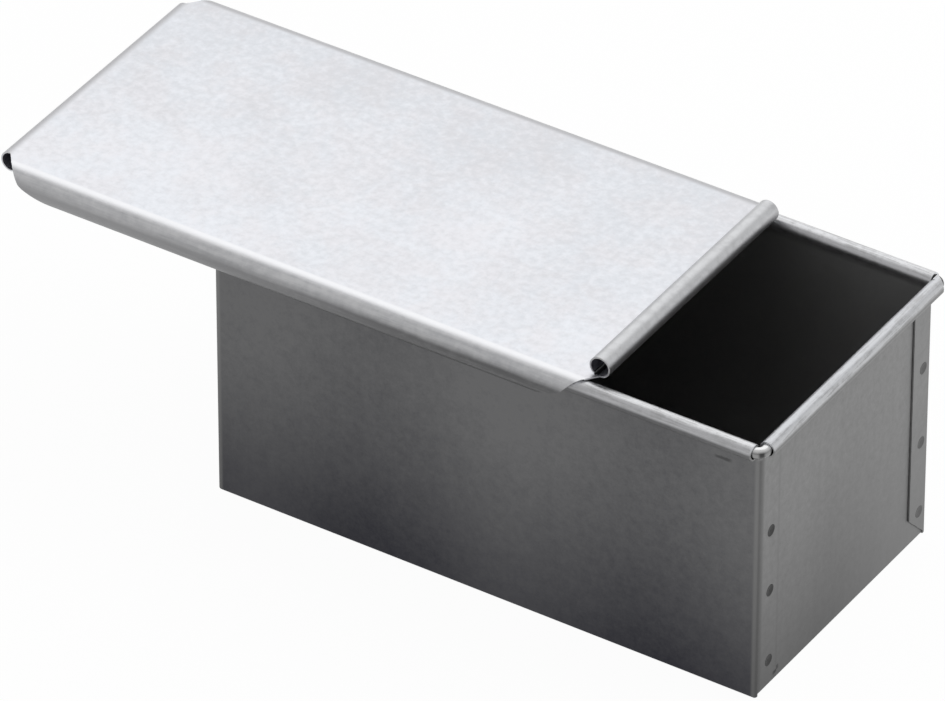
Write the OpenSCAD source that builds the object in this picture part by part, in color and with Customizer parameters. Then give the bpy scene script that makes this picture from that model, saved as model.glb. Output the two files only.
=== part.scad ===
/* [Pan] */
// Length of the pan over the corner flaps
body_l = 188; // [150:1:240]
// Width of the pan over its long sides
body_w = 96; // [80:1:140]
// Height of the pan from the table to the top of the rim
body_h = 93; // [80:1:130]
// Thickness of the pan's sheet
sheet = 0.5; // [0.4:0.05:0.7]
// Outside radius of the folds along the bottom
fold_r = 0.8; // [0.7:0.1:1.2]
// Outside radius of the folds up the four corners
corner_r = 1; // [0.9:0.1:1.6]
// Hairline between two faces of sheet that lap or meet
lap_gap = 0.1; // [0.05:0.05:0.2]

/* [Rolled rim] */
// Diameter of the steel wire that the rim is rolled round
wire_d = 3.5; // [3:0.1:4]
// Clearance between the wire and the rolled sheet, taken all round
wire_gap = 0.3; // [0.2:0.05:0.4]
// Clearance over the wire, where the rolled sheet hangs on it
wire_top_gap = 0.1; // [0.05:0.05:0.3]
// Radius of the wire's corner bends, measured at its centre
wire_bend_r = 2.2; // [2.1:0.1:2.8]
// Angle that the sheet turns through round the wire
rim_wrap = 315; // [290:5:315]
// Wire left bare beside its bend, at the corner where the end's rim stops short
bare_wire = 1; // [0.5:0.05:3]
// Reach of the tab that covers the other corner, past the inside of the long side
tab_reach = 2.8; // [2:0.1:3.2]
// Width of the tab's flat lip, from the top of the rim inwards
tab_lip = 1.25; // [0.8:0.05:1.5]
// Angle of the tab's own roll, from the top of the rim outwards
tab_wrap = 195; // [150:5:200]
// Slant of the tab's cut end, in mm back per mm outwards from its lip
tab_cut = 0.7; // [0.3:0.05:0.7]

/* [Corner flaps] */
// Width of the front flaps, from the outside of the long side
front_flap_w = 11.3; // [9:0.1:16]
// Width of the back flaps, from the outside of the long side
back_flap_w = 9.6; // [9:0.1:16]
// Height of the front flaps' lower edge above the underside
front_flap_low = 2.4; // [1.2:0.1:4]
// Height of the back flaps' lower edge above the underside
back_flap_low = 1.2; // [1.2:0.1:4]
// Width of the slanting cut on the front flaps' lower corner
front_cut_w = 2.4; // [0.5:0.1:8]
// Height of the slanting cut on the front flaps' lower corner
front_cut_h = 0.9; // [0.5:0.1:4]
// Width of the slanting cut on the back flaps' lower corner
back_cut_w = 8.5; // [0.5:0.1:8.5]
// Height of the slanting cut on the back flaps' lower corner
back_cut_h = 8.6; // [0.5:0.1:8.9]

/* [Rivets] */
// Diameter of a rivet's shank
rivet_d = 2.4; // [2:0.1:2.8]
// Clearance round the shank and round the sunk head
rivet_gap = 0.05; // [0.04:0.01:0.1]
// Diameter of the flush head on the flap
head_d = 3.8; // [3.2:0.1:4.2]
// Depth that the flush head is sunk into the flap
head_h = 0.3; // [0.2:0.05:0.35]
// Depth of the dish in the flush head
dish = 0.12; // [0.05:0.01:0.16]
// Flat edge left round the dish
dish_edge = 0.3; // [0.2:0.05:0.6]
// Diameter of the low round head inside the pan
inner_head_d = 4.4; // [3.6:0.1:5]
// Height of the low round head inside the pan
inner_head_h = 0.6; // [0.4:0.1:1]
// Distance of the front flaps' rivets from the outside of the long side
front_inset = 6.8; // [4:0.1:7]
// Distance of the back flaps' rivets from the outside of the long side
back_inset = 4.1; // [4:0.1:6]
// Height of the lowest rivets
rivet_low_z = 10.2; // [10:0.1:20]
// Height of the middle rivets
rivet_mid_z = 35.7; // [28:0.1:45]
// Height of the top rivets on the front flaps
front_top_z = 57.4; // [52:0.1:74]
// Height of the top rivets on the back flaps
back_top_z = 62.8; // [52:0.1:74]

/* [Lid] */
// Thickness of the lid's sheet
lid_sheet = 0.5; // [0.4:0.05:0.7]
// Running clearance between the top of the rim and the lid
lid_gap = 0.3; // [0.2:0.05:0.6]
// Outside radius of the half round channels along the lid's sides
channel_r = 4.8; // [4:0.1:6]
// Outside radius of the rolled tubes at the lid's two ends
curl_r = 3.45; // [3:0.05:4.5]
// Angle that each end is rolled through
curl_wrap = 325; // [280:5:325]
// How far the rolled tubes stop short of the rim's centre line
curl_inset = 3.55; // [2:0.05:6]
// Slant of the cut from a tube's end round the channel, in mm along per mm round
end_cut = 0.8; // [0.3:0.05:1.2]
// Slant of the same cut along the channel's lower lip
lip_cut = 2.2; // [1:0.1:3]
// Angle round the channel at which the lower lip's cut begins
lip_from = 85; // [60:5:120]
// Gap between the lid's downward tube and the pan's rim when the lid is closed
stop_gap = 0.3; // [0.2:0.05:1]
// Distance that the closed lid's upward tube stands past the pan's other rim
lid_overhang = 3; // [1:0.5:10]
// How far the lid is drawn open
lid_drawn = 65.8; // [0:0.1:170]

/* [Hidden] */
$fn = 96;

// Faces of the pan's sheet, measured from the middle of the pan
side_out = body_w / 2;
side_in = side_out - sheet;
flap_out = body_l / 2;
flap_in = flap_out - sheet;
panel_out = flap_in - lap_gap;
panel_in = panel_out - sheet;

// Centre line of the rolled rim
rim_r = wire_d / 2 + wire_gap + sheet;
rim_x = panel_in + rim_r;
rim_y = side_in + rim_r;
rim_z = body_h - rim_r;
wire_z = body_h - sheet - wire_top_gap - wire_d / 2;

// Ends of the rolled stretches
long_rim_half = rim_x - wire_bend_r;
end_rim_short = rim_y - wire_bend_r - bare_wire;
tab_start = side_in - lap_gap;
tab_end = tab_start + tab_reach;

// Ends of the flat walls, where the upright corners begin
wall_x = flap_out - corner_r;
wall_y = side_out - corner_r;

// Underside of the end's rim over the outer face of the flaps
rim_over_flap = rim_z - sqrt(pow(rim_r, 2) - pow(rim_x - flap_out, 2));

// Tops of the upright corners and of the flaps, clear of the wire and the rim
corner_top = min(rim_z - wire_d / 2 - wire_gap, rim_over_flap - lap_gap);
flap_top = rim_z - rim_r;

// Rivet rows across the pan
back_rivet_y = side_out - back_inset;
front_rivet_y = front_inset - side_out;

// Places of the lid's parts
lid_under = body_h + lid_gap;
lid_top = lid_under + lid_sheet;
channel_z = lid_top - channel_r;
down_x = -(rim_x + rim_r + stop_gap + curl_r) - lid_drawn;
up_x = rim_x + rim_r + lid_overhang + curl_r - lid_drawn;
curl_half = rim_y - curl_inset;
corner_run = end_cut * curl_inset;

// Colours
sheet_grey = [0.52, 0.52, 0.53];
lid_silver = [0.88, 0.89, 0.91];
wire_silver = [0.74, 0.74, 0.75];
rivet_grey = [0.3, 0.3, 0.31];

// Extra length of a cutting tool past what it cuts
past = 1;

// Flat sector of a fan, from angle a0 to angle a1
module fan(r, a0, a1) {
    steps = ceil((a1 - a0) / 30);
    rim = [for (i = [0:steps]) let (a = a0 + (a1 - a0) * i / steps) r * [cos(a), sin(a)]];
    polygon(concat([[0, 0]], rim));
}

// Section of a rolled strip of sheet, r is its outside radius
module rolled_strip(r, thick, a0, a1) {
    intersection() {
        difference() {
            circle(r);
            circle(r - thick);
        }
        fan(2 * r, a0, a1);
    }
}

// Stands a section in Y and Z along X, from x0 to x1
module along_x(x0, x1) {
    translate([x0, 0, 0]) rotate([90, 0, 90]) linear_extrude(height = x1 - x0) children();
}

// Stands a section in X and Z along Y, from y0 to y1
module along_y(y0, y1) {
    translate([0, y1, 0]) rotate([90, 0, 0]) linear_extrude(height = y1 - y0) children();
}

// Stands a plan in X and Y along Z, from z0 to z1
module along_z(z0, z1) {
    translate([0, 0, z0]) linear_extrude(height = z1 - z0) children();
}

// Copies its children to the opposite side
module both_sides() {
    children();
    mirror([0, 1, 0]) children();
}

// Copies its children to the other end, turned half round
module both_ends() {
    children();
    rotate([0, 0, 180]) children();
}

// Flat bottom of the pan
module bottom() {
    half_l = panel_out - fold_r;
    half_w = side_out - fold_r;
    translate([-half_l, -half_w, 0]) cube([2 * half_l, 2 * half_w, sheet]);
}

// One long side: its fold at the bottom, its wall and its rolled rim
module long_side() {
    along_x(-wall_x, wall_x)
        translate([side_out - fold_r, fold_r]) rolled_strip(fold_r, sheet, -90, 0);
    along_x(-wall_x, wall_x)
        translate([side_in, fold_r]) square([sheet, rim_z - fold_r]);
    along_x(-long_rim_half, long_rim_half)
        translate([rim_y, rim_z]) rolled_strip(rim_r, sheet, 180 - rim_wrap, 180);
}

// Upright corner at the pan's right end, y positive, where the long side turns into its flap
module upright_corner() {
    along_z(fold_r, corner_top)
        translate([wall_x, wall_y]) rolled_strip(corner_r, sheet, 0, 90);
}

// Foot of the same corner, where the bottom fold turns with it
module corner_foot() {
    translate([wall_x, wall_y, 0]) rotate_extrude(angle = 90) {
        translate([corner_r - fold_r, fold_r]) rolled_strip(fold_r, sheet, -90, 0);
        square([corner_r - fold_r, sheet]);
    }
}

// Flap that laps over the end panel, with its lower corner cut slanting
module flap(width, low, cut_w, cut_h) {
    inner = side_out - width;
    // Share by which the cutting triangle is longer than the cut
    more = 0.2;
    translate([flap_in, 0, 0])
        rotate([90, 0, 90])
        linear_extrude(height = sheet)
        translate([inner, low])
        difference() {
            square([wall_y - inner, flap_top - low]);
            polygon([
                [-more * cut_w, (1 + more) * cut_h],
                [(1 + more) * cut_w, -more * cut_h],
                [-more * cut_w, -more * cut_h]
            ]);
        }
}

// Right end panel: its fold at the bottom, its wall and its rolled rim
module end_panel() {
    along_y(-wall_y, wall_y)
        translate([panel_out - fold_r, fold_r]) rolled_strip(fold_r, sheet, -90, 0);
    along_y(-wall_y, wall_y)
        translate([panel_in, fold_r]) square([sheet, rim_z - fold_r]);
    along_y(-end_rim_short, tab_start)
        translate([rim_x, rim_z]) rolled_strip(rim_r, sheet, 180 - rim_wrap, 180);
}

// Tab of the end's rim, turned over the wire's bend, with its end cut slanting
module rim_tab() {
    lip_x = rim_x - tab_lip;
    cut_x = rim_x + rim_r + past;
    difference() {
        along_y(tab_start, tab_end) {
            translate([rim_x, rim_z]) rolled_strip(rim_r, sheet, 90 - tab_wrap, 90);
            translate([lip_x, body_h - sheet]) square([tab_lip, sheet]);
        }
        along_z(rim_z - rim_r - past, body_h + past)
            polygon([
                [lip_x, tab_end],
                [cut_x, tab_end - tab_cut * (cut_x - lip_x)],
                [cut_x, tab_end + past],
                [lip_x, tab_end + past]
            ]);
    }
}

// Stepped hole for one rivet, through the flap and the end panel
module rivet_hole() {
    rotate([0, 90, 0]) translate([0, 0, panel_in - past])
        cylinder(d = rivet_d + 2 * rivet_gap, h = flap_out - panel_in + 2 * past);
    rotate([0, 90, 0]) translate([0, 0, flap_out - head_h])
        cylinder(d = head_d + 2 * rivet_gap, h = head_h + past);
}

// Rivet holes of the right end, at the back and at the front
module rivet_holes() {
    for (z = [rivet_low_z, rivet_mid_z, back_top_z])
        translate([0, back_rivet_y, z]) rivet_hole();
    for (z = [rivet_low_z, rivet_mid_z, front_top_z])
        translate([0, front_rivet_y, z]) rivet_hole();
}

// Corners and flaps of the right end
module right_corners() {
    both_sides() upright_corner();
    both_sides() corner_foot();
    flap(back_flap_w, back_flap_low, back_cut_w, back_cut_h);
    mirror([0, 1, 0]) flap(front_flap_w, front_flap_low, front_cut_w, front_cut_h);
}

// One folded sheet: bottom, sides, end panels, flaps and rolled rims
module pan_body() {
    color(sheet_grey) difference() {
        union() {
            bottom();
            both_sides() long_side();
            both_ends() end_panel();
            both_ends() rim_tab();
            right_corners();
            mirror([1, 0, 0]) right_corners();
        }
        rivet_holes();
        mirror([1, 0, 0]) rivet_holes();
    }
}

// Straight run of the rim wire along X, half_run each way, at -side across
module wire_run(half_run, side) {
    translate([-half_run, -side, wire_z]) rotate([0, 90, 0])
        cylinder(d = wire_d, h = 2 * half_run);
}

// Steel hoop inside the rolled rim, bent square at the four corners
module rim_wire() {
    run_x = rim_x - wire_bend_r;
    run_y = rim_y - wire_bend_r;
    color(wire_silver) union() {
        both_ends() wire_run(run_x, rim_y);
        both_ends() rotate([0, 0, 90]) wire_run(run_y, rim_x);
        both_ends() both_sides()
            translate([run_x, run_y, wire_z])
            rotate_extrude(angle = 90) translate([wire_bend_r, 0]) circle(d = wire_d);
    }
}

// Distance of the slanting end cut from the lid's end, at angle a round the channel
function round_channel(a) = channel_r * a * PI / 180;
function cut_run(a) =
    corner_run
    + end_cut * round_channel(min(a, lip_from))
    + lip_cut * round_channel(max(a - lip_from, 0));

// Tool that cuts a channel's end slanting, end is 1 for the right end and -1 for the left
module channel_cutter(end_x, end) {
    edge = [for (a = [0:10:180]) [end_x - end * cut_run(a), channel_z + channel_r * cos(a)]];
    low = channel_z - channel_r - past;
    high = lid_top + past;
    last = end_x - end * cut_run(180);
    along_y(rim_y, rim_y + channel_r + past)
        polygon(concat(
            [[end_x - end * cut_run(0), high]],
            edge,
            [[last, low], [end_x + end * past, low], [end_x + end * past, high]]
        ));
}

// Half round channel along the back side of the lid
module lid_channel() {
    difference() {
        along_x(down_x + corner_run, up_x - corner_run)
            translate([rim_y, channel_z]) rolled_strip(channel_r, lid_sheet, -90, 90);
        channel_cutter(up_x, 1);
        channel_cutter(down_x, -1);
    }
}

// Flat of the lid, with its four corners cut slanting
module lid_plate() {
    along_z(lid_under, lid_top)
        polygon([
            [down_x, -curl_half],
            [down_x + corner_run, -rim_y],
            [up_x - corner_run, -rim_y],
            [up_x, -curl_half],
            [up_x, curl_half],
            [up_x - corner_run, rim_y],
            [down_x + corner_run, rim_y],
            [down_x, curl_half]
        ]);
}

// One sheet: flat top, side channels, one end rolled up and the other rolled down
module lid() {
    color(lid_silver) union() {
        lid_plate();
        both_sides() lid_channel();
        along_y(-curl_half, curl_half)
            translate([up_x, lid_under + curl_r])
            rolled_strip(curl_r, lid_sheet, -90, curl_wrap - 90);
        along_y(-curl_half, curl_half)
            translate([down_x, lid_top - curl_r])
            rolled_strip(curl_r, lid_sheet, 90, curl_wrap + 90);
    }
}

// Round cap that is h high on a base of diameter d, standing on the XY plane
module cap(d, h) {
    ball_r = (d * d / 4 + h * h) / (2 * h);
    intersection() {
        translate([0, 0, h - ball_r]) sphere(ball_r);
        cylinder(d = d + past, h = h + past);
    }
}

// Rivet at the right end: flush dished head, shank and a low round head inside
module rivet(y, z) {
    dish_d = head_d - 2 * dish_edge;
    color(rivet_grey)
        translate([0, y, z])
        rotate([0, 90, 0]) {
            translate([0, 0, panel_in]) cylinder(d = rivet_d, h = flap_out - head_h - panel_in);
            translate([0, 0, flap_out - head_h]) difference() {
                cylinder(d = head_d, h = head_h);
                translate([0, 0, head_h]) mirror([0, 0, 1]) cap(dish_d, dish);
            }
            translate([0, 0, panel_in]) mirror([0, 0, 1]) cap(inner_head_d, inner_head_h);
        }
}

// The same rivet at the pan's left end
module left_rivet(y, z) {
    mirror([1, 0, 0]) rivet(y, z);
}

pan_body();
rim_wire();
lid();
rivet(front_rivet_y, rivet_low_z);  // rivet_right_front_low
rivet(front_rivet_y, rivet_mid_z);  // rivet_right_front_mid
rivet(front_rivet_y, front_top_z);  // rivet_right_front_top
rivet(back_rivet_y, rivet_low_z);  // rivet_right_back_low
rivet(back_rivet_y, rivet_mid_z);  // rivet_right_back_mid
rivet(back_rivet_y, back_top_z);  // rivet_right_back_top
left_rivet(front_rivet_y, rivet_low_z);  // rivet_left_front_low
left_rivet(front_rivet_y, rivet_mid_z);  // rivet_left_front_mid
left_rivet(front_rivet_y, front_top_z);  // rivet_left_front_top
left_rivet(back_rivet_y, rivet_low_z);  // rivet_left_back_low
left_rivet(back_rivet_y, rivet_mid_z);  // rivet_left_back_mid
left_rivet(back_rivet_y, back_top_z);  // rivet_left_back_top
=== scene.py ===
# %% [markdown]
# # A square loaf pan with its lid drawn open
#
# The real object is three things: a pan folded from one sheet of aluminised
# steel, a wire hoop that its rim is rolled round, and a lid folded from one
# more sheet. Twelve flush rivets hold the pan's corners. All of their shapes
# come from the fixed frame, so this lesson is about what a sheet-metal pan
# looks like: how its surfaces catch the light, where light and shade are
# painted into their colour, and where they are worn.

import math

import bpy
from mathutils import Matrix, Vector


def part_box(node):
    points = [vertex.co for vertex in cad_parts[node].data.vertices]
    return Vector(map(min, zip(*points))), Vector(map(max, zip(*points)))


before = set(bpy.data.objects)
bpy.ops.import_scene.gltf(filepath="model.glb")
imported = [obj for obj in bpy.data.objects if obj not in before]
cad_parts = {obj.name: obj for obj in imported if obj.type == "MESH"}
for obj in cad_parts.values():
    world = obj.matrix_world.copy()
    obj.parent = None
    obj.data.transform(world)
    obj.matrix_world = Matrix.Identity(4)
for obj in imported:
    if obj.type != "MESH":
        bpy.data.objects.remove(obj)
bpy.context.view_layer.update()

# %% [markdown]
# Everything below is placed from a few heights and widths of the pan. Most
# of them are read off the frame, so they stay right if the frame changes. The
# sheet's thickness and the radius of a roll can't be read off a box, so they
# are typed in. One millimetre gets a name, because Blender works in metres
# here and a pan's details are a millimetre or two across. `SOFT` is half the
# width of an edge between two finishes that should look sharp.

# %% Measure the pan and the lid
MM = 0.001
pan_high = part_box("pan_body")[1]
lid_low, lid_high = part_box("lid")
wire_low, wire_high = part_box("rim_wire")
SHEET_MIDDLE = 0.25 * MM
SOFT = 0.05 * MM
RIM_TOP = pan_high.z
RIM_RADIUS = 2.55 * MM
RIM_MIDDLE = RIM_TOP - RIM_RADIUS
WIRE_MIDDLE = (wire_low.z + wire_high.z) / 2
WIRE_RADIUS = (wire_high.z - wire_low.z) / 2
RIM_X = (wire_high.x - wire_low.x) / 2 - WIRE_RADIUS
RIM_Y = (wire_high.y - wire_low.y) / 2 - WIRE_RADIUS
print("rim middle:", round(RIM_X, 4), round(RIM_Y, 4), round(RIM_MIDDLE, 4))

# %% [markdown]
# A finish is a formula: brightness here is dull grey, plus a little mottle,
# plus a painted highlight along the rim. Blender writes formulas as a web of
# nodes, which gets hard to read. The small class below lets a node's output
# take part in ordinary sums, and each sum adds its own Math node.


# %% A node output that can be used in sums
class Signal:
    """One output of a node. Sums with it add the Math nodes that work them out."""

    def __init__(self, finish, socket):
        self.finish = finish
        self.socket = socket

    def math(self, operation, first, second):
        return self.finish.add("Math", {"operation": operation}, {0: first, 1: second})

    def __add__(self, other):
        return self.math("ADD", self, other)

    def __radd__(self, other):
        return self.math("ADD", other, self)

    def __sub__(self, other):
        return self.math("SUBTRACT", self, other)

    def __rsub__(self, other):
        return self.math("SUBTRACT", other, self)

    def __mul__(self, other):
        return self.math("MULTIPLY", self, other)

    def __abs__(self):
        return self.math("ABSOLUTE", self, 0.0)


# %% [markdown]
# The second class is the finish itself. It makes any node from its type, its
# settings and what goes into its sockets, and it has the three patterns that
# every metal here is made of: a place in space, a soft noise, and a band that
# goes smoothly from 0 to 1 between two values.


# %% A finish made of nodes
class Finish:
    """A material. It starts as a Principled shader with nothing connected."""

    def __init__(self, name):
        self.material = bpy.data.materials.new(name)
        self.material.use_nodes = True
        self.tree = self.material.node_tree
        self.shader = self.tree.nodes["Principled BSDF"]

    def put(self, target, value):
        if isinstance(value, Signal):
            self.tree.links.new(value.socket, target)
        else:
            target.default_value = value

    def add(self, kind, settings, sockets, out=0):
        node = self.tree.nodes.new("ShaderNode" + kind)
        for name, value in settings.items():
            setattr(node, name, value)
        for name, value in sockets.items():
            self.put(node.inputs[name], value)
        return Signal(self, node.outputs[out])

    def place(self):
        return self.add("TexCoord", {}, {}, "Object")

    def along(self, axis):
        return self.add("SeparateXYZ", {}, {0: self.place()}, axis)

    def noise(self, grain, stretch=(1, 1, 1), shift=(0, 0, 0), detail=3.0, rough=0.55):
        """Soft noise from 0 to 1. grain is the size of its patches in metres."""
        spots = self.add("Mapping", {}, {"Vector": self.place(), "Location": shift, "Scale": stretch})
        sockets = {"Vector": spots, "Scale": 1 / grain, "Detail": detail, "Roughness": rough}
        return self.add("TexNoise", {}, sockets)

    def band(self, value, start, end):
        """0 where value is start, 1 where it is end, and smooth between them."""
        sockets = {"Value": value, "From Min": start, "From Max": end}
        return self.add("MapRange", {"interpolation_type": "SMOOTHSTEP"}, sockets)

    def blend(self, amount, low, high):
        """A colour that goes from low to high as amount goes from 0 to 1."""
        settings = {"data_type": "RGBA", "clamp_factor": True}
        return self.add("Mix", settings, {0: amount, 6: low, 7: high}, 2)

    def bump(self, height, depth):
        """Tilts the surface as if height, from 0 to 1, stood up by depth metres."""
        return self.add("Bump", {}, {"Strength": 1.0, "Distance": depth, "Height": height})

    def give(self, node_name):
        """Puts this finish on one node of the frame."""
        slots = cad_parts[node_name].material_slots
        slots[0].material = self.material


def grey(level, blue=0.0, green=0.0):
    """A grey of that red level, with that much more blue and green than red in it."""
    return (level, level * (1 + green), level * (1 + blue), 1.0)


print("finish maker ready")

# %% [markdown]
# ** The lid.** Aluminised steel has a pale, dry sheen: it is bright, but it
# shows no sharp reflection. Close up it is mottled like frost, with patches
# of a millimetre or two. Wider patches lean to blue or to a warmer grey, and
# some a few centimetres across drift over all of it. Its front half is a
# little lighter than its back half.

# %% Finish of the lid's flat top
LIGHT_LEVEL = 0.875
DEEP_LEVEL = 0.715
FROST_GRAIN = 2.6 * MM
PATCH_GRAIN = 14 * MM
DRIFT_GRAIN = 34 * MM
lid_finish = Finish("lid_sheet_metal")
lid_along = lid_finish.along("X")
lid_across = lid_finish.along("Y")
lid_height = lid_finish.along("Z")
frost = lid_finish.noise(FROST_GRAIN, detail=5.0, rough=0.64)
drift = lid_finish.noise(DRIFT_GRAIN, shift=(3.1, 0.7, 0), detail=2.0)
# Lighter towards the front of the lid.
toward_front = lid_finish.band(lid_across, 60 * MM, -60 * MM)
mottle = lid_finish.band(frost * 0.62 + drift * 0.22 + toward_front * 0.12, 0.3, 0.66)
warm_sheet = lid_finish.blend(mottle, grey(DEEP_LEVEL, 0.042, 0.003), grey(LIGHT_LEVEL, 0.038))
cool_sheet = lid_finish.blend(mottle, grey(DEEP_LEVEL, 0.078, 0.026), grey(LIGHT_LEVEL, 0.07, 0.022))
patches = lid_finish.noise(PATCH_GRAIN, shift=(0, 6.3, 1.1), detail=4.0, rough=0.65)
cool_patch = lid_finish.band(patches, 0.36, 0.64)
top_colour = lid_finish.blend(cool_patch, warm_sheet, cool_sheet)
print("lid finish so far:", len(lid_finish.tree.nodes), "nodes")

# %% [markdown]
# Along each side the sheet is folded down into a round channel. The front
# fold's crest carries a painted highlight, the brightest line on the lid,
# while the back fold and the left end's carry painted shade. Round the
# shoulder the colour is painted darker as shade, with streaks along its
# length, and the channel's belly has darker painted shade still, most of all
# on the right, where it runs over the pan.

# %% Finish of the lid's side channels
# Painted highlight on the front crest, painted shade on the other folds, the shoulder and the belly.
CREST_HIGHLIGHT = grey(0.92, 0.03, 0.005)
FOLD_SHADE = grey(0.57, 0.03)
SHOULDER_DEEP = grey(0.52, 0.045, 0.01)
SHOULDER_LIGHT = grey(0.74, 0.015)
BELLY_SHADE_LEFT = grey(0.31, 0.02)
BELLY_SHADE_RIGHT = grey(0.115, 0.02)
RUB_GRAIN = 1.7 * MM
LID_TOP = RIM_TOP + 0.8 * MM
from_middle = abs(lid_across)
crest = lid_finish.band(lid_across, 1.0 * MM - RIM_Y, 0.1 * MM - RIM_Y)
# Painted shade where the back fold and the left fold turn away.
back_fold = lid_finish.band(lid_across, RIM_Y - 0.85 * MM, RIM_Y + 0.95 * MM)
left_fold = lid_finish.band(lid_along, lid_low.x + 4.7 * MM, lid_low.x + 2.5 * MM)
channel = lid_finish.band(from_middle, RIM_Y + 0.6 * MM, RIM_Y + 2.9 * MM)
rubs = lid_finish.noise(RUB_GRAIN, stretch=(0.06, 1, 1), detail=4.0, rough=0.68)
streaky = lid_finish.band(rubs * 0.6 + frost * 0.4, 0.3, 0.7)
shoulder = lid_finish.blend(streaky, SHOULDER_DEEP, SHOULDER_LIGHT)
# Painted shade on the channel's belly, darker down its curve and towards the right.
round_belly = lid_finish.band(lid_height, LID_TOP - 1.6 * MM, LID_TOP - 4.5 * MM)
belly_shade = round_belly * channel * (1.08 - streaky * 0.16)
right_end = lid_finish.band(lid_along, -150 * MM, 10 * MM)
shaded_fold = back_fold + left_fold - back_fold * left_fold
folded_colour = lid_finish.blend(shaded_fold, top_colour, FOLD_SHADE)
crest_colour = lid_finish.blend(crest, folded_colour, CREST_HIGHLIGHT)
shoulder_colour = lid_finish.blend(channel, crest_colour, shoulder)
belly_shade_colour = lid_finish.blend(right_end, BELLY_SHADE_LEFT, BELLY_SHADE_RIGHT)
sheet_colour = lid_finish.blend(belly_shade, shoulder_colour, belly_shade_colour)
print("lid finish with its channels:", len(lid_finish.tree.nodes), "nodes")

# %% [markdown]
# The lid's right end is rolled up into an open tube, the grip that the lid is
# drawn by. Its round is greyer than the flat top, with a dull mottle, and is
# painted in light and shade: lighter on its right side, darker on its left
# side, and darkest on its lower right side, which hangs over the pan. The cut
# edges of the sheet at its two ends are dull too.

# %% Finish of the tube on top of the lid
TUBE_RADIUS = 3.45 * MM
# Painted light and shade round the tube: a greyer top, a lighter right side, a darker left side and a darker
# low side.
GRIP_TOP = grey(0.70, 0.03, 0.01)
GRIP_RIGHT = grey(0.80, 0.03, 0.01)
GRIP_LEFT = grey(0.62, 0.03, 0.01)
GRIP_LOW = grey(0.50, 0.02)
CUT_EDGE = grey(0.42, 0.02)
grip_x = lid_along - (lid_high.x - TUBE_RADIUS)
grip_z = lid_height - (lid_high.z - TUBE_RADIUS)
grip = lid_finish.band(lid_height, LID_TOP + 0.2 * MM, LID_TOP + 0.8 * MM)
right_side = lid_finish.band(grip_x, 1.6 * MM, 2.7 * MM)
left_side = lid_finish.band(grip_x, -0.3 * MM, -1.3 * MM)
low_side = lid_finish.band(grip_z, 2.0 * MM, 0.6 * MM) * right_side
top_to_right = lid_finish.blend(right_side, GRIP_TOP, GRIP_RIGHT)
right_to_low = lid_finish.blend(low_side, top_to_right, GRIP_LOW)
grip_colour = lid_finish.blend(left_side, right_to_low, GRIP_LEFT)
handled = lid_finish.band(frost, 0.36, 0.72) * 0.4
handled_colour = lid_finish.blend(handled, grip_colour, GRIP_LOW)
TUBE_END = RIM_Y - 3.55 * MM
cut_end = lid_finish.band(from_middle, TUBE_END - 2 * SOFT, TUBE_END - SOFT)
cut_colour = lid_finish.blend(cut_end, handled_colour, CUT_EDGE)
gripped_colour = lid_finish.blend(grip, sheet_colour, cut_colour)
print("lid finish with its tube:", len(lid_finish.tree.nodes), "nodes")

# %% [markdown]
# Inside the two tubes the colour is painted darker as shade, because hardly
# any light gets in, so it looks nearly black. A point is in a tube if it is
# nearer the tube's axis than the middle of the sheet. Under the upper tube's
# free edge is a gap as thin as a hair, painted darker still as its shadow.

# %% Paint shade inside the rolled ends
# Painted shade inside the tubes, and a painted shadow in the gap.
TUBE_INSIDE_SHADE = grey(0.52, 0.09)
GAP_SHADOW = grey(0.10, 0.02)
in_length = lid_finish.band(from_middle, TUBE_END - SOFT, TUBE_END - 3 * SOFT)


def tube_shade(axis_x, axis_z):
    """1 inside the tube with this axis, 0 outside it."""
    to_x = lid_along - axis_x
    to_z = lid_height - axis_z
    distance_squared = to_x * to_x + to_z * to_z
    roll = TUBE_RADIUS - SHEET_MIDDLE
    return lid_finish.band(distance_squared, (roll + SOFT) ** 2, (roll - SOFT) ** 2) * in_length


in_up_tube = tube_shade(lid_high.x - TUBE_RADIUS, lid_high.z - TUBE_RADIUS)
in_down_tube = tube_shade(lid_low.x + TUBE_RADIUS, LID_TOP - TUBE_RADIUS)
shaded_tubes = lid_finish.blend(in_up_tube + in_down_tube, gripped_colour, TUBE_INSIDE_SHADE)
gap_left = lid_finish.band(grip_x, -2.2 * MM, -2.0 * MM)
gap_right = lid_finish.band(grip_x, -0.3 * MM, -0.6 * MM)
gap_high = lid_finish.band(lid_height, LID_TOP + 0.9 * MM, LID_TOP + 0.6 * MM)
gap_low = lid_finish.band(lid_height, LID_TOP - 0.3 * MM, LID_TOP - 0.1 * MM)
gap_shadow = gap_left * gap_right * gap_high * gap_low * in_length
lid_colour = lid_finish.blend(gap_shadow, shaded_tubes, GAP_SHADOW)
print("lid colour:", len(lid_finish.tree.nodes), "nodes")

# %% [markdown]
# A large flat sheet is never quite flat. Waves a few centimetres long and a
# third of a millimetre deep bend its reflection a little, and the frost
# breaks it up.

# %% Sheen and waves of the lid
WAVE_LENGTH = 58 * MM
WAVE_DEPTH = 0.35 * MM
lid_finish.put(lid_finish.shader.inputs["Base Color"], lid_colour)
lid_finish.put(lid_finish.shader.inputs["Roughness"], 0.37 + frost * 0.16)
lid_finish.put(lid_finish.shader.inputs["Metallic"], 1.0)
waves = lid_finish.noise(WAVE_LENGTH, shift=(0.4, 9.0, 0), detail=1.0)
lid_relief = lid_finish.bump(waves * 0.94 + frost * 0.06, WAVE_DEPTH)
lid_finish.put(lid_finish.shader.inputs["Normal"], lid_relief)
lid_finish.give("lid")
print("lid finish:", len(lid_finish.tree.nodes), "nodes")
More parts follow.
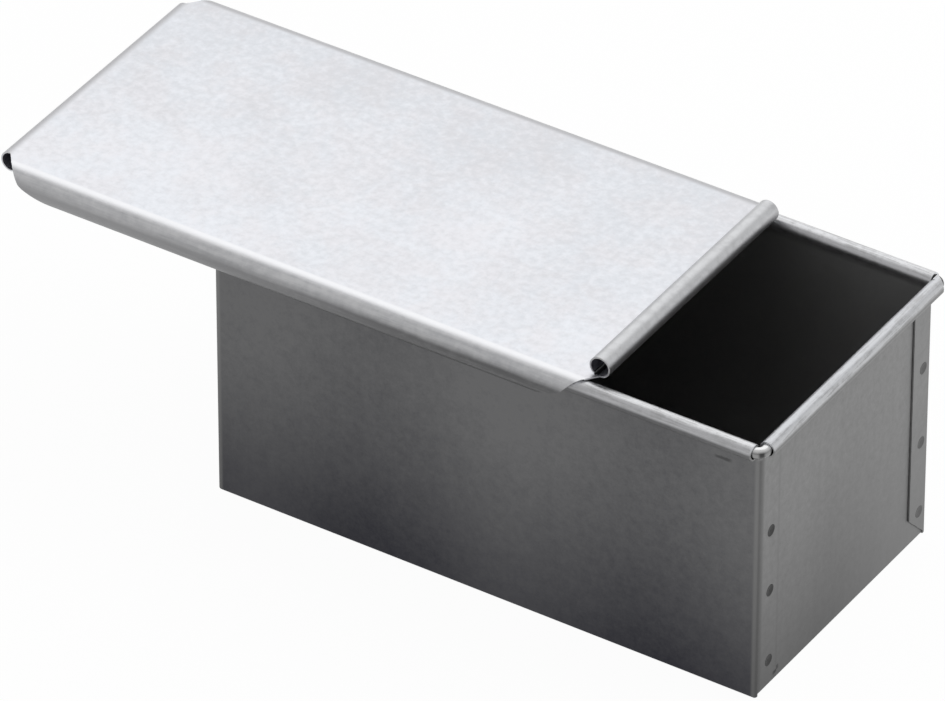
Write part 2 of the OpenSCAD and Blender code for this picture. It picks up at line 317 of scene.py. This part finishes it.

# %% [markdown]
# ** The pan.** It is the same sheet, but its walls are painted a dull grey as
# shade, darker towards the bottom, and the inside looks nearly black. Only
# the rolled rim's upper half keeps the sheet's bright colour. Faint streaks
# run up the walls, the way the sheet was rolled at the mill, and small specks
# of scale lie all over it. The long sides are thin, and their slight swelling
# and sinking about every ten centimetres is painted as lighter and darker
# stretches of reflection.

# %% Finish of the pan's walls
# Painted shade: the walls' lighter grey high up and darker grey low down, and the same for the end panels.
WALL_LIGHT = grey(0.16, 0.015)
WALL_DEEP = grey(0.0215, 0.35)
END_LIGHT = grey(0.302)
END_DEEP = grey(0.101)
DARK_HEIGHT = -30 * MM
LIGHT_HEIGHT = 78 * MM
BUCKLE_MIDDLE = 10 * MM
BUCKLE_LENGTH = 96 * MM
STREAK_GRAIN = 3.0 * MM
CLOUD_GRAIN = 30 * MM
SPECK_GRAIN = 2.6 * MM
pan_finish = Finish("pan_sheet_metal")
pan_along = pan_finish.along("X")
pan_across = pan_finish.along("Y")
height = pan_finish.along("Z")
pan_x = abs(pan_along)
pan_y = abs(pan_across)
streaks = pan_finish.noise(STREAK_GRAIN, stretch=(1, 1, 0.06), detail=3.0)
cloud = pan_finish.noise(CLOUD_GRAIN, shift=(1.7, 5.2, 0.3), detail=4.0, rough=0.6)
speck = pan_finish.noise(SPECK_GRAIN, detail=6.0, rough=0.76)
# climb goes from the painted shade low down to the lighter grey high up.
climb = pan_finish.band(height, DARK_HEIGHT, LIGHT_HEIGHT)
uneven = (cloud - 0.5) * 0.2 + (streaks - 0.5) * 0.1 + (speck - 0.5) * 0.9
stains = uneven * (0.3 + climb * 0.7)
# The buckles are not in the shape: a painted reflection, lighter and darker along the wall.
buckle_turn = (pan_along - BUCKLE_MIDDLE) * (2 * math.pi / BUCKLE_LENGTH)
buckle_reflection = buckle_turn.math("COSINE", buckle_turn, 0.0)
side_tone = climb * 0.9 + buckle_reflection * 0.1 + stains
side_colour = pan_finish.blend(side_tone, WALL_DEEP, WALL_LIGHT)
print("pan finish so far:", len(pan_finish.tree.nodes), "nodes")

# %% [markdown]
# The end panel is painted a lighter grey than the long sides, and low down
# it is painted lighter towards the back than towards the front, as shade. The
# same stains run over it, but no buckles are painted on it.

# %% Finish of the end panels
PANEL_FACE = RIM_X - RIM_RADIUS + 0.5 * MM
# Painted shade: lighter towards the back, most of all low down.
lighter_to_back = pan_finish.band(pan_across, -15 * MM, 50 * MM)
end_tone = climb * 0.77 + lighter_to_back * (0.58 - climb * 0.4) + stains * 1.15
end_colour = pan_finish.blend(end_tone, END_DEEP, END_LIGHT)
on_end = pan_finish.band(pan_x, PANEL_FACE - 0.9 * MM, PANEL_FACE - 0.1 * MM)
wall_colour = pan_finish.blend(on_end, side_colour, end_colour)
print("pan finish with its ends:", len(pan_finish.tree.nodes), "nodes")

# %% [markdown]
# The front's upright corners carry two painted lines along the fold: beside
# the long side a painted highlight, and next to it a line of painted shade,
# both darker low down. Both follow the difference between a point's distance
# along the pan and its distance across, which climbs steadily round the
# fold. The sum of the two is largest at a corner, so it keeps the lines there.

# %% Painted highlight and shade along the upright corners
SIDE_FACE = RIM_Y - 2.05 * MM
FLAP_FACE = PANEL_FACE + 0.6 * MM
CORNER_SUM = 138.6 * MM
from_fold = pan_x - pan_y - (FLAP_FACE - SIDE_FACE)
near_corner = pan_finish.band(pan_x + pan_y, CORNER_SUM, CORNER_SUM + 0.6 * MM)
under_rim = pan_finish.band(height, RIM_MIDDLE - 3.5 * MM, RIM_MIDDLE - 4.5 * MM)
front_half = pan_finish.band(pan_across, 0.0, -10 * MM)
upright = near_corner * under_rim * front_half
fold_highlight = pan_finish.band(abs(from_fold + 1.0 * MM), 1.2 * MM, 0.1 * MM) * upright
dark_rise = pan_finish.band(from_fold, -0.9 * MM, 0.1 * MM)
dark_fall = pan_finish.band(from_fold, 3.1 * MM, 1.1 * MM)
fold_shade_line = dark_rise * dark_fall * upright
# Painted highlight and painted shade on the fold, both darker low down.
fold_highlight_colour = pan_finish.blend(climb, grey(0.105), grey(0.20))
fold_shade_colour = pan_finish.blend(climb, grey(0.085), grey(0.155))
highlighted_colour = pan_finish.blend(fold_highlight, wall_colour, fold_highlight_colour)
fold_colour = pan_finish.blend(fold_shade_line, highlighted_colour, fold_shade_colour)
print("lines along the corners:", len(pan_finish.tree.nodes), "nodes")

# %% [markdown]
# Painted shade gathers where two sheets meet: a soft grey line runs down the
# end panel beside the front flap's edge, with a darker dab of painted shadow
# where that edge ends at the bottom. Under the front rim, near the right
# corner, something has scraped the wall and left a short dark scuff.

# %% Painted shade by the flap, and a scuff
FLAP_EDGE = 36.6 * MM
DAB_Z = 3.6 * MM
SCUFF_X = 81.5 * MM
SCUFF_Z = 82.6 * MM
# One dark grey for the painted shade by the flap and for the scuff.
SHADE_AND_SCUFF_DARK = grey(0.04, 0.02)
wander = (speck - 0.5) * (1.6 * MM)
# Painted shade along the flap's edge, and a painted shadow where it ends.
edge_line = pan_finish.band(abs(pan_y - FLAP_EDGE), 1.5 * MM, 0.3 * MM) * 0.13
dab_across = pan_finish.band(abs(pan_y - FLAP_EDGE - wander), 2.7 * MM, 1.1 * MM)
dab_high = pan_finish.band(abs(height - DAB_Z + wander), 1.0 * MM, 0.4 * MM)
flap_shade = (edge_line + dab_across * dab_high) * on_end * front_half * under_rim
flap_shaded_colour = pan_finish.blend(flap_shade, fold_colour, SHADE_AND_SCUFF_DARK)
scuff_long = pan_finish.band(abs(pan_along - SCUFF_X), 3.6 * MM, 1.6 * MM)
scuff_high = pan_finish.band(abs(height - SCUFF_Z + wander), 0.8 * MM, 0.2 * MM)
scuffed_colour = pan_finish.blend(scuff_long * scuff_high * front_half * 0.6, flap_shaded_colour, SHADE_AND_SCUFF_DARK)
print("scuff at", round(SCUFF_X, 4), round(SCUFF_Z, 4))

# %% [markdown]
# The rolled rim keeps the sheet's bright colour above its middle, and below
# it the walls' painted shade carries on. On the long rims, which the lid's
# channels slide on, the crown carries the brightest painted highlight. On the
# end rims it is the outer shoulder, and the bright part starts a little
# higher. On the inner side of all of them the bright colour reaches down to
# the wall. Worn streaks and specks run along each rim.

# %% Finish of the rolled rim
# Painted highlight and shade on the rim: its crown and its shoulder are lit and shaded copies of one grey.
SIDE_CROWN = grey(0.78, 0.025, 0.005)
SIDE_SHOULDER = grey(0.605, 0.028)
END_CROWN = grey(0.675, 0.055, 0.018)
END_SHOULDER = grey(0.825, 0.04, 0.015)
RIM_WORN = grey(0.42, 0.01)
SCRATCH_GRAIN = 0.7 * MM
crown = pan_finish.band(height, RIM_TOP - 0.75 * MM, RIM_TOP - 0.2 * MM)
# Where the rim's bright colour ends, the walls' painted shade begins.
side_lit_rim = pan_finish.band(height, RIM_MIDDLE - 0.25 * MM, RIM_MIDDLE + 1.3 * MM)
end_lit_rim = pan_finish.band(height, RIM_MIDDLE, RIM_MIDDLE + 1.7 * MM)
inner_lit_rim = pan_finish.band(height, RIM_MIDDLE - 2.4 * MM, RIM_MIDDLE + 0.2 * MM)
inner_side = pan_finish.band(pan_y, RIM_Y - 0.8 * MM, RIM_Y - 2.0 * MM) * (1 - on_end)
outer_lit_rim = side_lit_rim + (end_lit_rim - side_lit_rim) * on_end
lit_rim = outer_lit_rim + (inner_lit_rim - outer_lit_rim) * inner_side
along_side = pan_finish.noise(SCRATCH_GRAIN, stretch=(0.05, 1, 1), detail=3.0)
along_end = pan_finish.noise(SCRATCH_GRAIN, stretch=(1, 0.05, 1), detail=3.0)
scratches = along_side + (along_end - along_side) * on_end
side_rim = pan_finish.blend(crown, SIDE_SHOULDER, SIDE_CROWN)
end_rim = pan_finish.blend(crown, END_SHOULDER, END_CROWN)
rim_sheen = pan_finish.blend(on_end, side_rim, end_rim)
worn_rim = pan_finish.band(scratches * 0.6 + speck * 0.4, 0.55, 0.36)
rim_colour = pan_finish.blend(worn_rim * 0.7, rim_sheen, RIM_WORN)
outer_colour = pan_finish.blend(lit_rim, scuffed_colour, rim_colour)
print("pan finish with its rim:", len(pan_finish.tree.nodes), "nodes")

# %% [markdown]
# The inside looks nearly black, although its grey here is lighter than the
# outer walls'. In a deep box a reflection mostly shows another wall of the
# box, and every bounce takes some of the light away. Its grey is lighter
# towards the ends. Whether a point is inside is worked out from its place: it
# is if it is nearer the middle than the middle of the sheet, both along and
# across, and above the middle of the bottom.

# %% Finish of the inside
INSIDE_DARK = grey(0.37)
INSIDE_LIGHT = grey(0.54)
RELIEF_DEPTH = 0.21 * MM
inner_x = RIM_X - RIM_RADIUS + SHEET_MIDDLE
inner_y = RIM_Y - RIM_RADIUS + SHEET_MIDDLE
clear_x = pan_finish.band(pan_x, inner_x + SOFT, inner_x - SOFT)
clear_y = pan_finish.band(pan_y, inner_y + SOFT, inner_y - SOFT)
clear_z = pan_finish.band(height, SHEET_MIDDLE - SOFT, SHEET_MIDDLE + SOFT)
below_rim = pan_finish.band(height, RIM_MIDDLE + 0.2 * RIM_RADIUS, RIM_MIDDLE - 1.2 * RIM_RADIUS)
inside = clear_x * clear_y * clear_z * below_rim
inside_colour = pan_finish.blend(pan_finish.band(pan_x, 35 * MM, 85 * MM), INSIDE_DARK, INSIDE_LIGHT)
pan_colour = pan_finish.blend(inside, outer_colour, inside_colour)
pan_finish.put(pan_finish.shader.inputs["Base Color"], pan_colour)
pan_finish.put(pan_finish.shader.inputs["Roughness"], 0.42 + speck * 0.18 - lit_rim * 0.12)
pan_finish.put(pan_finish.shader.inputs["Metallic"], 1.0)
pan_relief = pan_finish.bump(cloud * 0.95 + speck * 0.05, RELIEF_DEPTH)
pan_finish.put(pan_finish.shader.inputs["Normal"], pan_relief)
pan_finish.give("pan_body")
print("pan finish:", len(pan_finish.tree.nodes), "nodes")

# %% [markdown]
# ** The wire and the rivets.** The wire is drawn steel, smoother and glossier
# than the sheet. Where it lies bare at a corner it is painted in light and
# shade: a painted highlight on its top, and painted shade on its outer side,
# darkest in the middle of the bend. Where a tab of the rim covers it, what
# shows past the tab is painted dark all round, as shade. The rivets' heads
# lie a hair below the flaps. They are a dark grey, and the front rivets are
# painted darker than the back ones, as shade.

# %% Finish of the wire
# Painted highlight on the bare wire's top, painted shade on its outer side and under it.
WIRE_HIGHLIGHT = grey(0.86)
WIRE_SHADE = grey(0.06)
WIRE_HALF_SHADE = grey(0.27)
WIRE_UNDER_SHADE = grey(0.15)
wire_finish = Finish("rim_wire_steel")
wire_height = wire_finish.along("Z")
wire_spots = wire_finish.noise(0.8 * MM, detail=3.0)
wire_along = wire_finish.along("X")
wire_across = wire_finish.along("Y")
bare_corner = wire_finish.band(wire_along * wire_across, 0.001, -0.001)
top_side = wire_finish.band(wire_height, WIRE_MIDDLE + 0.6 * MM, WIRE_MIDDLE + 1.65 * MM)
top_highlight = top_side * bare_corner
from_bend = abs(abs(wire_along) - abs(wire_across) - (RIM_X - RIM_Y))
off_bend = wire_finish.band(from_bend, 0.5 * MM, 1.9 * MM) * bare_corner
spotted_height = wire_height + wire_spots * (0.3 * MM)
underside = wire_finish.band(spotted_height, WIRE_MIDDLE + 0.2 * MM, WIRE_MIDDLE - 0.8 * MM)
wire_shade_colour = wire_finish.blend(underside, WIRE_SHADE, WIRE_UNDER_SHADE)
half_shade_colour = wire_finish.blend(off_bend, wire_shade_colour, WIRE_HALF_SHADE)
wire_colour = wire_finish.blend(top_highlight, half_shade_colour, WIRE_HIGHLIGHT)
wire_finish.put(wire_finish.shader.inputs["Base Color"], wire_colour)
wire_finish.put(wire_finish.shader.inputs["Roughness"], 0.2 + wire_spots * 0.12)
wire_finish.put(wire_finish.shader.inputs["Metallic"], 1.0)
wire_finish.give("rim_wire")
print("wire finish:", len(wire_finish.tree.nodes), "nodes")

# %% Finish of the rivets
rivet_finish = Finish("rivet_dark_steel")
rivet_spots = rivet_finish.noise(0.7 * MM, detail=3.0, rough=0.6)
# The front rivets' darker grey is painted shade.
shaded_front_rivet = rivet_finish.blend(rivet_spots, grey(0.02), grey(0.078))
back_rivet = rivet_finish.blend(rivet_spots, grey(0.07), grey(0.20))
to_back = rivet_finish.band(rivet_finish.along("Y"), -20 * MM, 20 * MM)
rivet_colour = rivet_finish.blend(to_back, shaded_front_rivet, back_rivet)
rivet_finish.put(rivet_finish.shader.inputs["Base Color"], rivet_colour)
rivet_finish.put(rivet_finish.shader.inputs["Roughness"], 0.42 + rivet_spots * 0.2)
rivet_finish.put(rivet_finish.shader.inputs["Metallic"], 1.0)
rivet_names = [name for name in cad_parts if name.startswith("rivet_")]
for name in rivet_names:
    rivet_finish.give(name)
print("rivets finished:", len(rivet_names))

# %% [markdown]
# **The floor.** A plain pale sheet, large enough that the camera sees no
# edge of it. It lies a hair below the pan, so that the two surfaces don't
# fight for the same place. To the camera, and in the metal's reflections, it
# is mostly an even white that gives its own light, with a part of the real
# paper left in it, so that the pan's soft shadow still shows. Every other ray
# of light meets plain paper.

# %% Lay the floor
FLOOR_SIZE = 12.0
FLOOR_DROP = 0.2 * MM
EVEN_WHITE = 0.96
bpy.ops.object.select_all(action="DESELECT")
bpy.ops.mesh.primitive_plane_add(size=FLOOR_SIZE, location=(0, 0, -FLOOR_DROP))
floor = bpy.context.object
floor.name = "floor"
bpy.ops.object.transform_apply(location=True, rotation=True, scale=True)
floor_finish = Finish("floor_paper")
paper = floor_finish.noise(0.5, detail=2.0)
floor_finish.put(floor_finish.shader.inputs["Base Color"], floor_finish.blend(paper, grey(0.87), grey(0.89)))
floor_finish.put(floor_finish.shader.inputs["Roughness"], 0.9)
floor_finish.put(floor_finish.shader.inputs["Specular IOR Level"], 0.1)
to_camera = floor_finish.add("LightPath", {}, {}, "Is Camera Ray")
in_metal = floor_finish.add("LightPath", {}, {}, "Is Glossy Ray")
through_glass = floor_finish.add("LightPath", {}, {}, "Is Transmission Ray")
seen = to_camera + in_metal + through_glass
plain_paper = Signal(floor_finish, floor_finish.shader.outputs[0])
even_white = floor_finish.add("Emission", {}, {"Color": grey(1.0), "Strength": 1.0})
surface = floor_finish.add("MixShader", {}, {0: seen * EVEN_WHITE, 1: plain_paper, 2: even_white})
floor_finish.put(floor_finish.tree.nodes["Material Output"].inputs["Surface"], surface)
floor.data.materials.append(floor_finish.material)
print("floor:", FLOOR_SIZE, "m square")

# %% [markdown]
# **The light.** Flat metal shows whatever it faces. The lid's top mirrors
# the place behind the pan and above it, so a broad soft lamp stands there.
# A second one stands further round to the right. It is hidden from
# reflections, and bare metal shows nothing but reflections, so it lights the
# floor only, where it casts a soft shadow. Nothing but the even light of the
# room comes from the front, which together with the painted shade on the
# walls leaves the long side dark.

# %% Set the lamps
LAMP_DISTANCE = 1.6
ROOM_LIGHT = 0.6


def add_softbox(name, azimuth, elevation, size, power):
    """A square lamp that faces the pan from a compass angle and a height, both in degrees."""
    a = math.radians(azimuth)
    e = math.radians(elevation)
    away = Vector((math.sin(a) * math.cos(e), math.cos(a) * math.cos(e), math.sin(e)))
    lamp_data = bpy.data.lights.new(name, "AREA")
    lamp_data.shape = "SQUARE"
    lamp_data.size = size
    lamp_data.energy = power
    lamp = bpy.data.objects.new(name, lamp_data)
    facing = away.to_track_quat("Z", "Y").to_matrix().to_4x4()
    lamp.matrix_world = Matrix.Translation(away * LAMP_DISTANCE) @ facing
    bpy.context.scene.collection.objects.link(lamp)
    return lamp


add_softbox("softbox_back_left", azimuth=-33, elevation=47, size=2.1, power=6.6)
floor_lamp = add_softbox("softbox_back_right", azimuth=52, elevation=48, size=1.2, power=11.5)
floor_lamp.visible_glossy = False
world = bpy.data.worlds.new("even_room_light")
world.use_nodes = True
room = world.node_tree.nodes["Background"]
room.inputs["Color"].default_value = (1.0, 1.0, 1.0, 1.0)
room.inputs["Strength"].default_value = ROOM_LIGHT
bpy.context.scene.world = world

# %% [markdown]
# **The camera.** A long lens from a little over three metres away keeps the
# pan's edges nearly parallel. It looks down at 36 degrees, from 33 degrees
# round to the right of the pan's long side.

# %% Set the camera
AZIMUTH = math.radians(32.733)
ELEVATION = math.radians(36.186)
ROLL = math.radians(0.059)
DISTANCE = 3145.5 * MM
SLIDE_RIGHT = -29.204 * MM
SLIDE_UP = 10.034 * MM
LOOKED_AT = Vector((0.0, 0.0, 46.5 * MM))
LENS = 406.48
back = Vector((
    math.sin(AZIMUTH) * math.cos(ELEVATION),
    -math.cos(AZIMUTH) * math.cos(ELEVATION),
    math.sin(ELEVATION),
))
level_right = Vector((math.cos(AZIMUTH), math.sin(AZIMUTH), 0.0))
level_up = back.cross(level_right)
right = level_right * math.cos(ROLL) + level_up * math.sin(ROLL)
up = level_up * math.cos(ROLL) - level_right * math.sin(ROLL)
camera_data = bpy.data.cameras.new("camera")
camera_data.lens = LENS
camera = bpy.data.objects.new("camera", camera_data)
turn = Matrix((right, up, back)).transposed().to_4x4()
spot = LOOKED_AT + right * SLIDE_RIGHT + up * SLIDE_UP + back * DISTANCE
camera.matrix_world = Matrix.Translation(spot) @ turn
bpy.context.scene.collection.objects.link(camera)
bpy.context.scene.camera = camera
bpy.context.scene.view_settings.view_transform = "Standard"
print("camera stands at", tuple(round(v, 3) for v in spot))
